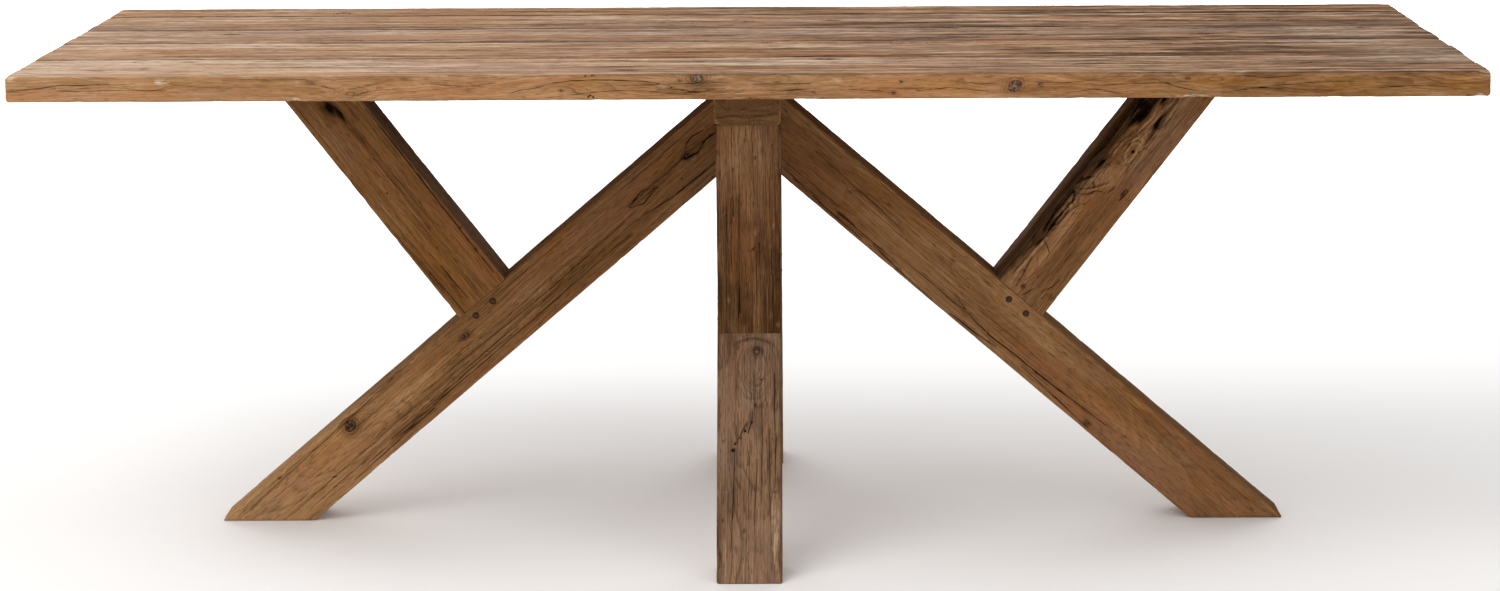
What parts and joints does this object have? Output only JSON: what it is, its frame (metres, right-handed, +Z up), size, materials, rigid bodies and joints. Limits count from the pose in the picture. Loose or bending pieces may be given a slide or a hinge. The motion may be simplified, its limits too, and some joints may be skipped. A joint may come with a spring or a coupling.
{
  "type": "dining table",
  "caption": "Rustic dining table: a long top of uneven reclaimed planks on a star of raking beam legs that meet under its middle, each branching into an arm that props the top.",
  "frame": {"origin": "on the floor, under the middle of the table top", "axes": "+X along the planks to the right-hand end seen from the front, +Y from the front edge to the back edge, +Z up"},
  "size_m": [2.2, 1, 0.78],
  "materials": {
    "top_wood": "weathered, brushed reclaimed teak, dry matt",
    "base_wood": "weathered reclaimed teak beams, dry matt",
    "bearer_wood": "rough-sawn teak, matt",
    "peg_wood": "hardwood pegs cut flush, matt",
    "screw_steel": "zinc-plated steel, dull"
  },
  "bodies": {
    "root": {"leg_right": "base_wood", "leg_left": "base_wood", "leg_back": "base_wood", "leg_front": "base_wood", "arm_right": "base_wood", "arm_left": "base_wood", "arm_back": "base_wood", "arm_front": "base_wood", "plank_front_1": "top_wood", "plank_2": "top_wood", "plank_3": "top_wood", "plank_4": "top_wood", "plank_middle_5": "top_wood", "plank_6": "top_wood", "plank_7": "top_wood", "plank_8": "top_wood", "plank_back_9": "top_wood", "cross_bearer": "bearer_wood", "long_bearer": "bearer_wood", "batten_left": "bearer_wood", "batten_right": "bearer_wood", "pegs_right": "peg_wood", "pegs_left": "peg_wood", "pegs_back": "peg_wood", "pegs_front": "peg_wood", "bearer_pegs_long": "peg_wood", "bearer_pegs_cross": "peg_wood", "apex_dowels": "peg_wood", "plank_splines": "peg_wood", "cross_bearer_screws": "screw_steel", "long_bearer_screws": "screw_steel", "batten_screws": "screw_steel", "apex_screws": "screw_steel"}
  },
  "joints": []
}
